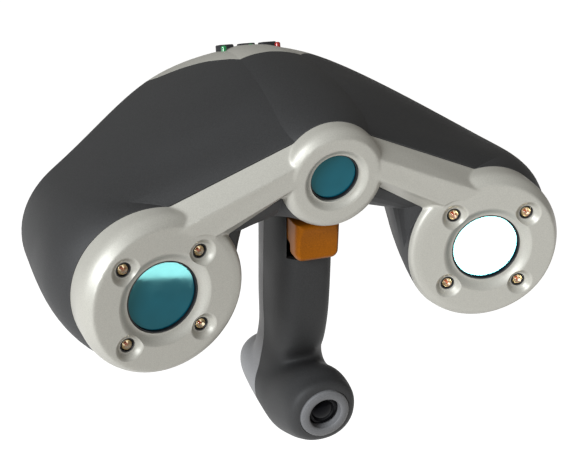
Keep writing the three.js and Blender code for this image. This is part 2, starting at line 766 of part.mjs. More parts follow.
// The coil stands on the switch and stops just short of the pad at full pull.
const SPRING = { front: -20.8, rear: -11.8 };
function triggerSpring() {
  const turns = 5;
  class Coil extends THREE.Curve {
    getPoint(t, target = new THREE.Vector3()) {
      const angle = 2 * Math.PI * turns * t;
      return target.set(2 * Math.cos(angle), mix(SPRING.front, SPRING.rear, t), 2 * Math.sin(angle));
    }
  }
  const wire = new THREE.Shape();
  wire.absarc(0, 0, 0.35, 0, 2 * Math.PI);
  const geometry = new THREE.ExtrudeGeometry(wire, {
    steps: turns * 8,
    curveSegments: 3,
    extrudePath: new Coil(),
  });
  return geometry.translate(0, 0, 32);
}
place(scanner, "trigger_spring", triggerSpring(), steel);

export default scanner;
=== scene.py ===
"""Looks of the handheld scanner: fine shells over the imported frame, materials, light and camera."""

import json
import math

import bmesh
import bpy
from mathutils import Matrix, Vector


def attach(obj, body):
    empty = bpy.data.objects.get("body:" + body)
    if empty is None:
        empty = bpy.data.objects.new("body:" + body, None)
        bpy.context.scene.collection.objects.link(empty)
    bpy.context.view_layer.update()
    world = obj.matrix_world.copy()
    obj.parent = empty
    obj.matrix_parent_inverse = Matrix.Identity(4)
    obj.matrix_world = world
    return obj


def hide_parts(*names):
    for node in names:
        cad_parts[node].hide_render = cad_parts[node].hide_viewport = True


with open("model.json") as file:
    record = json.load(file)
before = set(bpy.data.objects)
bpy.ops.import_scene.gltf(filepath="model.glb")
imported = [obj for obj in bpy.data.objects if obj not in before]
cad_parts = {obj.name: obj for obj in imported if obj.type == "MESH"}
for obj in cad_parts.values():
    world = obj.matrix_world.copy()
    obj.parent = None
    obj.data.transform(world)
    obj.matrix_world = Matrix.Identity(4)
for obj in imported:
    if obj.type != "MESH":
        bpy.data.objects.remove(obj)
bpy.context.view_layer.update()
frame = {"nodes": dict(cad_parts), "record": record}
nodes = frame["nodes"]
scene = bpy.context.scene
scene.view_settings.view_transform = "Standard"

# ---------- driving dimensions, in millimetres, the same as the CAD's ----------
MM = 0.001
GAP = 0.3
WALL = 2.6

POD_X = 80
POD_FACE = (-54, 31.4)
TOE_IN = math.radians(12.4)
POD_FACE_R = 34
POD_HOLE_R = 17.2
LED_OFFSET = 18.1
FACE_PLATE = 4
GLASS_SINK = 1.4
MID_FACE = (-50, 75.3)
MID_TILT = math.radians(8.7)
MID_FACE_R = 20.8
MID_HOLE_R = 11.8
MID_RIM = (0, 76, 24.7)
POD_RIM = (80.7, 32, 38.5)
SEAM_Y = -43
BACK_Y = 90
BACK_FLAT = 28
TIP_X, TIP_Y = 130, 41
BACK_ROUND = 7
UNDERSIDE_Z = 52
GRIP_HALF, GRIP_FRONT, GRIP_REAR, GRIP_TOP = 15, -25, 24.3, 51.7
PARTING_Y = 3.5
TOE_Y, TOE_Z, TOE_R = -47, -49.2, 18
LASER_R = 13
KEYPAD_Y = 76
STATUS_Y = -8.5
SCREW_SINK = 2.2
INLET_Z = -59
DATA_X = -6.2
JACK_X = 6.4
KEY_STEP = 12
STATUS_STEP = 15
COVER_SCREWS_X, COVER_SCREW_Z = (-19, 19), 60
HANDLE_SCREWS_Z = (20, -22)
TRIGGER_PIVOT_Y, TRIGGER_PIVOT_Z = -13, 43.2


# ---------- mesh helpers ----------
def mix(a, b, t):
    return a + (b - a) * t


def make_object(name, points, faces):
    """A mesh object from points in millimetres, with its faces turned outwards."""
    mesh = bpy.data.meshes.new(name)
    mesh.from_pydata([Vector(p) * MM for p in points], [], faces)
    made = bmesh.new()
    made.from_mesh(mesh)
    bmesh.ops.remove_doubles(made, verts=made.verts, dist=1e-7)
    bmesh.ops.recalc_face_normals(made, faces=made.faces)
    made.to_mesh(mesh)
    made.free()
    obj = bpy.data.objects.new(name, mesh)
    scene.collection.objects.link(obj)
    return obj


def loft(name, rings):
    """A closed body through rings of equal length, with a fan over each end."""
    count = len(rings[0])
    points = [p for ring in rings for p in ring]
    last = (len(rings) - 1) * count
    faces = []
    for i in range(count):
        after = (i + 1) % count
        for ring in range(0, last, count):
            faces.append((ring + i, ring + after, ring + count + after, ring + count + i))
        faces.append((len(points), after, i))
        faces.append((len(points) + 1, last + i, last + after))
    for ring in (rings[0], rings[-1]):
        points.append(sum((Vector(p) for p in ring), Vector()) / count)
    return make_object(name, points, faces)


def prism(name, near, far):
    """A closed body between two outlines of equal length."""
    count = len(near)
    faces = [tuple(range(count)), tuple(range(count, 2 * count))]
    faces += [(i, (i + 1) % count, (i + 1) % count + count, i + count) for i in range(count)]
    return make_object(name, near + far, faces)


def lathe(name, profile, steps=64, place=None):
    """A body turned about Y from (radius, y) pairs; a closed profile gives a ring."""
    ring_shaped = profile[0] == profile[-1]
    outline = profile[:-1] if ring_shaped else profile
    points, starts = [], []
    for radius, y in outline:
        starts.append(len(points))
        for i in range(steps if radius > 0 else 1):
            angle = 2 * math.pi * i / steps
            points.append(Vector((radius * math.cos(angle), y, radius * math.sin(angle))))
    faces = []
    pairs = list(zip(range(len(outline)), range(1, len(outline))))
    if ring_shaped:
        pairs.append((len(outline) - 1, 0))
    for a, b in pairs:
        for i in range(steps):
            after = (i + 1) % steps
            ring_a = [starts[a] + i, starts[a] + after] if outline[a][0] > 0 else [starts[a]]
            ring_b = [starts[b] + after, starts[b] + i] if outline[b][0] > 0 else [starts[b]]
            faces.append(tuple(ring_a + ring_b))
    if place is not None:
        points = [place @ p for p in points]
    return make_object(name, points, faces)


def box_object(name, size, centre, place=None):
    half = Vector(size) / 2
    corners = [
        Vector((x * half.x, y * half.y, z * half.z)) + Vector(centre)
        for x in (-1, 1)
        for y in (-1, 1)
        for z in (-1, 1)
    ]
    if place is not None:
        corners = [place @ c for c in corners]
    faces = [(0, 1, 3, 2), (4, 6, 7, 5), (0, 4, 5, 1), (2, 3, 7, 6), (0, 2, 6, 4), (1, 5, 7, 3)]
    return make_object(name, corners, faces)


def bake(obj):
    """Turns the object's modifiers into mesh."""
    graph = bpy.context.evaluated_depsgraph_get()
    made = bpy.data.meshes.new_from_object(obj.evaluated_get(graph))
    obj.modifiers.clear()
    spent = obj.data
    obj.data = made
    bpy.data.meshes.remove(spent)


def combine(target, other, operation):
    """Boolean of two closed objects; the second is used up."""
    modifier = target.modifiers.new("combine", "BOOLEAN")
    modifier.operation = operation
    modifier.solver = "MANIFOLD"
    modifier.object = other
    bpy.context.view_layer.update()
    bake(target)
    bpy.data.objects.remove(other)


def join(first, others):
    """One object from several that don't touch."""
    made = bmesh.new()
    for obj in [first, *others]:
        made.from_mesh(obj.data)
    made.to_mesh(first.data)
    made.free()
    for obj in others:
        bpy.data.objects.remove(obj)
    return first


def smooth(obj, angle=28):
    obj.data.polygons.foreach_set("use_smooth", [True] * len(obj.data.polygons))
    obj.data.set_sharp_from_angle(angle=math.radians(angle))


def copy_of(obj, name):
    twin = bpy.data.objects.new(name, obj.data.copy())
    scene.collection.objects.link(twin)
    return twin


def finish_piece(obj, material, slot, body, *replaced):
    obj.data.materials.clear()
    obj.data.materials.append(material)
    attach(obj, body)
    if replaced:
        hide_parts(*replaced)
    return obj


# ---------- materials ----------
class Nodes:
    """A new material with short ways to add nodes to it."""

    def __init__(self, name, color, roughness, **sockets):
        self.material = bpy.data.materials.new(name)
        self.material.use_nodes = True
        self.tree = self.material.node_tree
        self.shader = self.tree.nodes["Principled BSDF"]
        self.shader.inputs["Base Color"].default_value = (*color, 1)
        self.shader.inputs["Roughness"].default_value = roughness
        for socket, value in sockets.items():
            self.shader.inputs[socket.replace("_", " ")].default_value = value
        self.place = self.add("ShaderNodeTexCoord").outputs["Object"]

    def add(self, kind, **settings):
        node = self.tree.nodes.new(kind)
        for name, value in settings.items():
            setattr(node, name, value)
        return node

    def link(self, source, target):
        self.tree.links.new(source, target)

    def noise(self, size, detail=2.0, rough=0.5):
        """Noise whose features are about this many metres wide."""
        node = self.add("ShaderNodeTexNoise")
        node.inputs["Scale"].default_value = 1 / size
        node.inputs["Detail"].default_value = detail
        node.inputs["Roughness"].default_value = rough
        self.link(self.place, node.inputs["Vector"])
        return node.outputs["Fac"]

    def ramp(self, value, low, high, out_low, out_high):
        node = self.add("ShaderNodeMapRange")
        limits = {"From Min": low, "From Max": high, "To Min": out_low, "To Max": out_high}
        for name, number in limits.items():
            node.inputs[name].default_value = number
        self.link(value, node.inputs["Value"])
        return node.outputs["Result"]

    def blend(self, fac, first, second):
        """Colour between two, each a colour or a socket."""
        node = self.add("ShaderNodeMix", data_type="RGBA")
        self.link(fac, node.inputs["Factor"])
        for socket, value in ((node.inputs[6], first), (node.inputs[7], second)):
            if isinstance(value, bpy.types.NodeSocket):
                self.link(value, socket)
            else:
                socket.default_value = (*value, 1)
        return node.outputs[2]

    def bumps(self, *layers):
        """Stacked bump layers, each (height, distance in metres, strength)."""
        normal = None
        for height, distance, strength in layers:
            node = self.add("ShaderNodeBump")
            node.inputs["Distance"].default_value = distance
            node.inputs["Strength"].default_value = strength
            self.link(height, node.inputs["Height"])
            if normal is not None:
                self.link(normal, node.inputs["Normal"])
            normal = node.outputs["Normal"]
        self.link(normal, self.shader.inputs["Normal"])

    def edges(self, radius):
        """1 along edges and 0 on open faces, from how far a rounded normal turns away."""
        bevel = self.add("ShaderNodeBevel", samples=4)
        bevel.inputs["Radius"].default_value = radius
        geometry = self.add("ShaderNodeNewGeometry")
        dot = self.add("ShaderNodeVectorMath", operation="DOT_PRODUCT")
        self.link(bevel.outputs["Normal"], dot.inputs[0])
        self.link(geometry.outputs["Normal"], dot.inputs[1])
        return self.ramp(dot.outputs["Value"], 0.995, 0.86, 0, 1)

    def color(self, socket):
        self.link(socket, self.shader.inputs["Base Color"])

    def roughness(self, socket):
        self.link(socket, self.shader.inputs["Roughness"])


def moulded(name, color, roughness, grain, depth, wear, tint=(1, 1, 1)):
    """Moulded plastic with spark-eroded grain, faint mottling and lighter edges."""
    m = Nodes(name, color, roughness)
    fine = m.noise(grain, 3.0, 0.6)
    broad = m.noise(0.035, 2.0)
    dark = tuple(c * 0.8 for c in color)
    light = tuple(min(1, c * 1.22) for c in color)
    base = m.blend(m.ramp(fine, 0.3, 0.7, 0, 1), dark, light)
    cloudy = m.blend(m.ramp(broad, 0.35, 0.7, 0, 0.35), base, light)
    worn = tuple(mix(c, 0.5, wear) for c in color)
    m.shader.inputs["Specular IOR Level"].default_value = 0.35
    m.shader.inputs["Specular Tint"].default_value = (*tint, 1)
    edge = m.edges(0.0006)
    m.color(m.blend(edge, cloudy, worn))
    m.roughness(m.ramp(broad, 0.3, 0.7, roughness - 0.05, roughness + 0.06))
    m.bumps((fine, depth, 0.6), (m.noise(grain * 2.7, 1.0), depth, 0.25))
    return m.material


def metallic_paint(name, color, roughness):
    """Satin paint with fine metal flake, a slightly uneven coat and thin wear on the edges."""
    m = Nodes(name, color, roughness, Metallic=0.25)
    m.shader.inputs["Coat Weight"].default_value = 0.12
    m.shader.inputs["Coat Roughness"].default_value = 0.35
    flake = m.noise(0.00045, 1.0, 0.7)
    broad = m.noise(0.05, 2.0)
    orange_peel = m.noise(0.0022, 1.0)
    dark = tuple(c * 0.93 for c in color)
    light = tuple(min(1, c * 1.06) for c in color)
    base = m.blend(m.ramp(flake, 0.35, 0.65, 0, 1), dark, light)
    m.color(m.blend(m.edges(0.0005), base, tuple(min(1, c * 1.12) for c in color)))
    m.roughness(m.ramp(broad, 0.3, 0.7, roughness - 0.04, roughness + 0.05))
    m.bumps((flake, 0.00004, 0.25), (orange_peel, 0.00006, 0.2))
    return m.material


def filter_glass(name, color, tint, roughness=0.03):
    """Coated filter glass: a dark, faintly uneven interference colour under a hard gloss."""
    m = Nodes(name, color, roughness, IOR=1.5)
    m.shader.inputs["Specular Tint"].default_value = (*tint, 1)
    cloud = m.noise(0.014, 1.0)
    dark = tuple(c * 0.86 for c in color)
    light = tuple(c * 1.14 for c in color)
    m.color(m.blend(m.ramp(cloud, 0.3, 0.7, 0, 1), dark, light))
    m.roughness(m.ramp(m.noise(0.004, 3.0), 0.4, 0.8, roughness, roughness + 0.03))
    return m.material


def clear_epoxy(name):
    """Cast lamp body with a few flow marks."""
    m = Nodes(name, (1.0, 0.97, 0.9), 0.04, IOR=1.5)
    m.shader.inputs["Transmission Weight"].default_value = 1.0
    m.bumps((m.noise(0.0016, 1.0), 0.00005, 0.3))
    return m.material


def plain_metal(name, color, roughness, stretch=(1, 14, 1)):
    """Machined or plated metal with drawn marks."""
    m = Nodes(name, color, roughness, Metallic=1.0)
    mapping = m.add("ShaderNodeMapping")
    mapping.inputs["Scale"].default_value = stretch
    m.link(m.place, mapping.inputs["Vector"])
    marks = m.noise(0.0012, 4.0, 0.65)
    m.link(mapping.outputs["Vector"], marks.node.inputs["Vector"])
    m.roughness(m.ramp(marks, 0.3, 0.7, roughness - 0.08, roughness + 0.1))
    m.color(m.blend(marks, tuple(c * 0.85 for c in color), color))
    m.bumps((marks, 0.00003, 0.3))
    return m.material


def circuit_board(name):
    """Solder mask over copper tracks."""
    m = Nodes(name, (0.015, 0.12, 0.05), 0.35)
    tracks = m.add("ShaderNodeTexBrick")
    tracks.inputs["Scale"].default_value = 320
    tracks.inputs["Mortar Size"].default_value = 0.04
    m.link(m.place, tracks.inputs["Vector"])
    m.color(m.blend(tracks.outputs["Fac"], (0.012, 0.1, 0.04), (0.04, 0.22, 0.1)))
    m.bumps((tracks.outputs["Fac"], 0.00003, 0.5))
    m.roughness(m.ramp(m.noise(0.003), 0.3, 0.7, 0.28, 0.42))
    return m.material


def tinted_lens(name, color):
    """Small moulded light pipe with an uneven tint."""
    m = Nodes(name, color, 0.18)
    m.shader.inputs["Coat Weight"].default_value = 0.6
    cloud = m.noise(0.0012, 1.0)
    m.color(m.blend(cloud, tuple(c * 0.6 for c in color), color))
    m.roughness(m.ramp(m.noise(0.0006), 0.3, 0.7, 0.12, 0.26))
    return m.material


silver = metallic_paint("silver_paint", (0.52, 0.505, 0.45), 0.46)
dark = moulded("dark_shell", (0.034, 0.034, 0.0345), 0.6, 0.0006, 0.00012, 0.12)
grey = moulded("grey_shell", (0.36, 0.36, 0.37), 0.5, 0.0006, 0.00008, 0.3)
bezel_grey = moulded("bezel_grey", (0.17, 0.17, 0.175), 0.4, 0.0006, 0.00006, 0.3)
orange = moulded("trigger_orange", (0.36, 0.105, 0.004), 0.45, 0.0007, 0.00005, 0.02, (1, 0.5, 0.15))
black = moulded("black_plastic", (0.008, 0.008, 0.010), 0.42, 0.0006, 0.00005, 0.04)
rubber = moulded("key_rubber", (0.018, 0.018, 0.02), 0.7, 0.0005, 0.00008, 0.05)
glass = filter_glass("filter_glass", (0.003, 0.105, 0.165), (0.3, 0.95, 0.92))
laser_glass = filter_glass("laser_glass", (0.004, 0.004, 0.005), (0.08, 0.08, 0.09), 0.02)
epoxy = clear_epoxy("clear_lamp")
steel = plain_metal("steel", (0.6, 0.61, 0.63), 0.3)
aluminium = plain_metal("bare_aluminium", (0.66, 0.67, 0.69), 0.34)
brass = plain_metal("lamp_cup", (0.95, 0.82, 0.58), 0.28, (1, 1, 1))
board = circuit_board("circuit_board")
green_lens = tinted_lens("green_lamp", (0.02, 0.3, 0.09))
red_lens = tinted_lens("red_lamp", (0.5, 0.02, 0.015))
amber = tinted_lens("lamp_die", (0.6, 0.1, 0.02))

SLOT_MATERIALS = {
    "silver_paint": silver,
    "dark_shell": dark,
    "grey_shell": grey,
    "trigger_orange": orange,
    "black_plastic": black,
    "filter_glass": glass,
    "clear_lamp": epoxy,
    "circuit_board": board,
    "bare_aluminium": aluminium,
    "steel": steel,
    "green_lamp": green_lens,
    "red_lamp": red_lens,
    "key_rubber": rubber,
}
for part in frame["record"]["subparts"]:
    for material_slot in nodes[part["node"]].material_slots:
        material_slot.material = SLOT_MATERIALS[part["material_slot"]]

# ---------- where the cameras sit ----------
PODS = {
    side: Matrix.Translation((sign * POD_X, *POD_FACE)) @ Matrix.Rotation(-sign * TOE_IN, 4, "Z")
    for side, sign in (("left", -1), ("right", 1))
}
MIDDLE = Matrix.Translation((0, *MID_FACE)) @ Matrix.Rotation(MID_TILT, 4, "X")
LASER = Matrix.Translation((0, TOE_Y, TOE_Z))
LED_PLACES = [(a * LED_OFFSET, b * LED_OFFSET) for a, b in ((-1, 1), (1, 1), (1, -1), (-1, -1))]


# ---------- the head's outline at each depth ----------
def decay(y, length):
    return math.exp(-(y - SEAM_Y) / length)


def crest_height(y):
    crest_y = 38
    rise = 12 * ((crest_y - min(y, crest_y)) / (crest_y - SEAM_Y)) ** 2
    fall = 10 * ((max(y, crest_y) - crest_y) / (BACK_Y - crest_y)) ** 2
    return 112.7 - rise - fall


def back_depth(x):
    t = min(max((abs(x) - BACK_FLAT) / (TIP_X - BACK_FLAT), 0), 1)
    return mix(BACK_Y, TIP_Y, (1 - math.cos(math.pi * t)) / 2)


def on_circle(circle, angle):
    return Vector((circle[0] + circle[2] * math.cos(angle), circle[1] + circle[2] * math.sin(angle)))


def quadratic(p0, p1, p2, steps):
    """Points of a quadratic curve, without its last one."""
    return [p0.lerp(p1, i / steps).lerp(p1.lerp(p2, i / steps), i / steps) for i in range(steps)]


def half_outline(y, fineness):
    """Right half of the outline at one depth, from the crest round the pod to the belly."""
    behind = y - SEAM_Y
    swell = decay(y, 6)
    crest = Vector((0, crest_height(y)))
    crease = Vector((21.5 - 0.064 * behind - 4 * swell, crest.y - 2.2 - 5.4 * decay(y, 30)))
    barrel = (
        POD_RIM[0] + 10.6 * (1 - decay(y, 12)),
        POD_RIM[1] + 3.4 * (1 - decay(y, 10)) - 0.065 * behind,
        POD_RIM[2],
    )
    underside = (
        POD_RIM[0] + 3.5 * (1 - swell) + 0.185 * behind,
        POD_RIM[1] - 0.5 * (1 - swell),
        POD_RIM[2] + 3 * (1 - swell) - 0.0012 * behind**2 - 0.03 * behind,
    )
    start = math.radians(58 + 41 * decay(y, 14))
    end = math.radians(-165 - 49.6 * swell)

    def on_arc(angle):
        t = min(max(-angle / (math.pi / 2), 0), 1)
        return on_circle(barrel, angle).lerp(on_circle(underside, angle), t * t * (3 - 2 * t))

    shoulder = on_arc(start)
    wing_slope = -0.14
    arc_slope = -1 / math.tan(max(start, 0.2))
    rise = crease.y - shoulder.y - wing_slope * crease.x + arc_slope * shoulder.x
    meet_x = rise / (arc_slope - wing_slope)
    straight = crease.lerp(shoulder, 0.5)
    meets = crease.x < meet_x < shoulder.x + 20
    wing = Vector((meet_x, crease.y + wing_slope * (meet_x - crease.x))) if meets else straight
    wing = wing.lerp(straight, 0.97 * decay(y, 20))
    corner = Vector((33 + 0.31 * behind + 15.9 * swell, UNDERSIDE_Z - 2.5 + 6.1 * swell))
    arm_root = Vector((23, UNDERSIDE_Z + 15.4 * swell))

    points = quadratic(crest, Vector((0.58 * crease.x, crest.y)), crease, 3 * fineness)
    points += quadratic(crease, wing, shoulder, 5 * fineness)
    arc_steps = 12 * fineness
    points += [on_arc(mix(start, end, i / arc_steps)) for i in range(arc_steps + 1)]
    for i in range(1, fineness):
        points.append(points[-1].lerp(corner, 1 / (fineness + 1 - i)))
    points.append(corner)
    for i in range(4 * fineness + 1):
        t = i / (4 * fineness)
        round_belly = on_circle(MID_RIM, math.radians(mix(-20.6, -90, t)))
        flat = Vector((mix(arm_root.x, 0, t), UNDERSIDE_Z + 0.2 * math.sin(math.pi * t / 2)))
        points.append(flat.lerp(round_belly, swell))
    return points


def outline(y, inset, fineness):
    right = half_outline(y, fineness)
    loop = right + [Vector((-p.x, p.y)) for p in reversed(right[1:-1])]
    made = []
    for i, p in enumerate(loop):
        along = (loop[(i + 1) % len(loop)] - loop[i - 1]).normalized()
        made.append(Vector((p.x + along.y * inset, y, p.y - along.x * inset)))
    return made


class Outlines:
    """Outlines at close depths, worked out once and blended between."""

    STEP = 1.0

    def __init__(self, inset, fineness):
        self.inset = inset
        self.fineness = fineness
        self.made = {}

    def at(self, y, i):
        lower = math.floor(y / self.STEP)
        for key in (lower, lower + 1):
            if key not in self.made:
                depth = max(key * self.STEP, SEAM_Y)
                self.made[key] = outline(depth, self.inset, self.fineness)
        point = self.made[lower][i].lerp(self.made[lower + 1][i], y / self.STEP - lower)
        return Vector((point.x, y, point.z))


def swept_ring(depth_at, inset, fineness):
    """A ring whose depth depends on x: each point slides along the head until it fits."""
    outlines = Outlines(inset, fineness)
    ring = []
    for i, start in enumerate(outline(SEAM_Y, inset, fineness)):
        point = start
        for _ in range(6):
            point = outlines.at(depth_at(point.x), i)
        ring.append(point)
    return ring


def in_front_of(name, depth_at, xs, back=None):
    """Prism over a plan line y = depth_at(x), in front of it, or behind it if back is given."""
    far = -100 if back is None else back
    line = [(x, depth_at(x)) for x in xs] + [(xs[-1], far), (xs[0], far)]
    return prism(name, [(x, y, -60) for x, y in line], [(x, y, 160) for x, y in line])


def head_body(name, inset, fineness, stations, angles):
    rings = [[Vector((p.x, SEAM_Y - 1, p.z)) for p in outline(SEAM_Y, inset, fineness)]]
    for t in stations:
        rings.append(swept_ring(lambda x: mix(SEAM_Y, back_depth(x) - BACK_ROUND, t), inset, fineness))
    for angle in map(math.radians, angles):
        away = inset + BACK_ROUND * (1 - math.sin(angle))
        shrink = inset + BACK_ROUND * (1 - math.cos(angle))
        rings.append(swept_ring(lambda x: back_depth(x) - away, shrink, fineness))
    rings.append([Vector((p.x, BACK_Y + 5, p.z)) for p in rings[-1]])
    body = loft(name, rings)
    xs = list(range(-145, 146, 3 if fineness > 1 else 12))
    combine(body, in_front_of("cutter", lambda x: back_depth(x) - inset, xs), "INTERSECT")
    return body


def interpolate(pairs, x):
    x = abs(x)
    for (x0, y0), (x1, y1) in zip(pairs, pairs[1:]):
        if x <= x1:
            return mix(y0, y1, (x - x0) / (x1 - x0))
    return pairs[-1][1]


COVER_SEAM = [(0, 38.5), (16, 37), (24, 47), (32, 58), (41, 66), (50, 71), (58, 80), (145, 105)]


def build_head():
    """The dark head shell and the silver rear cover, cut from one fine body."""
    closer_at_front = [0, 0.01, 0.025, 0.045, 0.07, 0.1, 0.14, 0.19, 0.25, 0.32]
    closer_at_front += [0.4, 0.49, 0.58, 0.67, 0.76, 0.85, 0.93, 1]
    outer = head_body("head_outer", 0, 4, closer_at_front, [12, 25, 38, 51, 64, 76, 85])
    inner = head_body("head_inner", WALL, 1, [0, 0.03, 0.08, 0.16, 0.3, 0.48, 0.66, 0.84, 1], [25, 55, 85])
    combine(outer, inner, "DIFFERENCE")
    xs = sorted({sign * x for x, _ in COVER_SEAM for sign in (-1, 1)})
    cover = copy_of(outer, "rear_cover_skin")
    behind = in_front_of("cutter", lambda x: interpolate(COVER_SEAM, x) + GAP / 2, xs, 130)
    combine(cover, behind, "INTERSECT")
    ahead = in_front_of("cutter", lambda x: interpolate(COVER_SEAM, x) - GAP / 2, xs)
    combine(outer, ahead, "INTERSECT")
    combine(outer, box_object("cutter", (300, 10 + GAP, 300), (0, SEAM_Y - 5 + GAP / 2, 30)), "DIFFERENCE")
    combine(outer, box_object("cutter", (20, 24, 12), (0, 2, UNDERSIDE_Z)), "DIFFERENCE")
    outer.name = "head_shell_skin"

    keypad = keypad_frame()
    holes = [box_object("hole", (8.6, 8.6, 20), (x, 0, 0), keypad) for x in (-KEY_STEP, 0, KEY_STEP)]
    for x in (-STATUS_STEP, 0, STATUS_STEP):
        place = keypad @ Matrix.Translation((x, STATUS_Y, 0)) @ Matrix.Rotation(math.pi / 2, 4, "X")
        holes.append(lathe("hole", [(0, -10), (1.8, -10), (1.8, 10), (0, 10)], 24, place))
    for x in COVER_SCREWS_X:
        profile = [(0, BACK_Y - 8), (1.8, BACK_Y - 8), (1.8, BACK_Y - 2.2), (3.3, BACK_Y - 2.2)]
        profile += [(3.3, BACK_Y + 1), (0, BACK_Y + 1)]
        holes.append(lathe("hole", profile, 32, Matrix.Translation((x, 0, COVER_SCREW_Z))))
    combine(cover, join(holes[0], holes[1:]), "DIFFERENCE")
    for piece in (outer, cover):
        smooth(piece, 9)
    finish_piece(outer, dark, "dark_shell", "scanner", "head_shell")
    finish_piece(cover, silver, "silver_paint", "scanner", "rear_cover")


# ---------- front frame ----------
PAST_SEAM = 4  # the frame is built this far past the joint, then cut off flat


def circle(radius, y, steps):
    angles = [2 * math.pi * i / steps for i in range(steps)]
    return [Vector((radius * math.cos(a), y, radius * math.sin(a))) for a in angles]


def drum(place, face_radius, rim, inset, rim_y, face_depth, steps):
    """Round housing of one camera, from its face over a shoulder to the rim."""
    face = [place @ p for p in circle(face_radius - inset, face_depth, steps)]
    back = [p + Vector((rim[0], 0, rim[1])) for p in circle(rim[2] - inset, rim_y, steps)]
    shoulder = [
        Vector((mix(p.x, q.x, 0.82), mix(p.y, q.y, 0.3), mix(p.z, q.z, 0.82))) for p, q in zip(face, back)
    ]
    if inset:
        return loft("drum", [face, shoulder, back])
    # Small arcs over the face's edge and over the shoulder.
    centre = sum(face, Vector()) / steps
    lines = []
    for p, s, q in zip(face, shoulder, back):
        start = p.lerp(centre, 0.03)
        lines.append(rounded_line([start, p, s, q], [0.5, 3]))
    rings = [list(ring) for ring in zip(*lines)]
    rings.append([p + Vector((0, PAST_SEAM, 0)) for p in rings[-1]])
    return loft("drum", rings)


def rounded_line(points, radii):
    """A line in space with each inner corner rounded."""
    made = [points[0]]
    for before, corner, after, radius in zip(points, points[1:], points[2:], radii):
        reach = min(radius, (before - corner).length / 2, (after - corner).length / 2)
        start = corner + (before - corner).normalized() * reach
        end = corner + (after - corner).normalized() * reach
        for i in range(5):
            t = i / 4
            made.append(start.lerp(corner, t).lerp(corner.lerp(end, t), t))
    return made + [points[-1]]


def arm(sign, inset, rim_y, face_depth):
    """Bar from the middle drum that runs on into one pod, with a flat face and sloping sides."""
    face = [
        (19, -50.6, 84.2 - inset),
        (78, -52.7, 60.5 - inset),
        (70, -49.6, 49.2 + inset),
        (19, -50, 74.6 + inset),
    ]
    rim = [
        (15, rim_y, 94 - inset),
        (84, rim_y, 66.4 - inset),
        (60, rim_y, 46.7 + inset),
        (21, rim_y, 68.9 + inset),
    ]
    rings = [[Vector((sign * x, y + face_depth, z)) for x, y, z in face]]
    rings.append([Vector((sign * x, y, z)) for x, y, z in rim])
    if not inset:
        rings.append([p + Vector((0, PAST_SEAM, 0)) for p in rings[-1]])
    return loft("arm", rings)


def frame_body(inset, rim_y, face_depth, steps):
    body = drum(MIDDLE, MID_FACE_R, MID_RIM, inset, rim_y, face_depth, steps)
    for side, sign in (("left", -1), ("right", 1)):
        rim = (sign * POD_RIM[0], *POD_RIM[1:])
        combine(body, drum(PODS[side], POD_FACE_R, rim, inset, rim_y, face_depth, steps), "UNION")
        combine(body, arm(sign, inset, rim_y, face_depth), "UNION")
    return body


def hole(place, wide, narrow, step, steps):
    """Cutter for a dished hole: a soft S-shaped dish from the face down to a straight bore."""
    profile = [(0, -2), (wide + 2, -2), (wide + 2, -0.06)]
    for i in range(13):
        t = i / 12
        profile.append((mix(wide, narrow, t), mix(-0.05, step, (1 - math.cos(math.pi * t)) / 2)))
    profile += [(narrow, 9), (0, 9)]
    return lathe("hole", profile, steps, place)


def soften(obj, voxel, rounds):
    """Blends the joined bodies into one moulding with rounded edges."""
    remesh = obj.modifiers.new("remesh", "REMESH")
    remesh.mode = "VOXEL"
    remesh.voxel_size = voxel * MM
    relax = obj.modifiers.new("relax", "SMOOTH")
    relax.factor = 0.5
    relax.iterations = rounds
    bake(obj)


def build_front_frame():
    body = frame_body(0, SEAM_Y, 0, 144)
    soften(body, 0.6, 4)
    combine(body, box_object("cutter", (300, 20, 300), (0, SEAM_Y + 10, 30)), "DIFFERENCE")
    combine(body, frame_body(WALL, SEAM_Y + 1, FACE_PLATE, 28), "DIFFERENCE")
    holes = [hole(MIDDLE, MID_HOLE_R + 4, MID_HOLE_R, 2.2, 96)]
    for place in PODS.values():
        holes.append(hole(place, POD_HOLE_R + 5.6, POD_HOLE_R, 3.0, 128))
        for x, z in LED_PLACES:
            holes.append(hole(place @ Matrix.Translation((x, 0, z)), 7.0, 3.5, 2.6, 64))
    for cutter in holes:
        combine(body, cutter, "DIFFERENCE")
    body.name = "front_frame_skin"
    smooth(body, 24)
    finish_piece(body, silver, "silver_paint", "scanner", "front_frame")


# ---------- lenses, collars and lamps ----------
def build_camera(name, place, hole_radius):
    glass_radius = hole_radius - 1.1
    lip, seat = FACE_PLATE - 0.8, FACE_PLATE + GAP
    front = lip + GLASS_SINK
    back = front + 2.4
    collar = [
        (glass_radius + GAP, lip + 0.1),
        (glass_radius + GAP + 0.1, lip),
        (hole_radius - GAP - 0.1, lip),
        (hole_radius - GAP, lip + 0.1),
        (hole_radius - GAP, seat),
        (hole_radius + 2.6, seat),
        (hole_radius + 2.6, back + 0.6),
        (glass_radius + GAP, back + 0.6),
        (glass_radius + GAP, lip + 0.1),
    ]
    ring = lathe("collar_" + name, collar, 96, place)
    smooth(ring)
    finish_piece(ring, black, "black_plastic", "scanner", "lens_ring_" + name)
    radius = glass_radius + GAP - 0.05
    edge = [(0, front), (radius - 0.25, front), (radius, front + 0.25), (radius, back), (0, back)]
    window = lathe("window_" + name, edge, 96, place)
    smooth(window)
    finish_piece(window, glass, "filter_glass", "scanner", "lens_window_" + name)


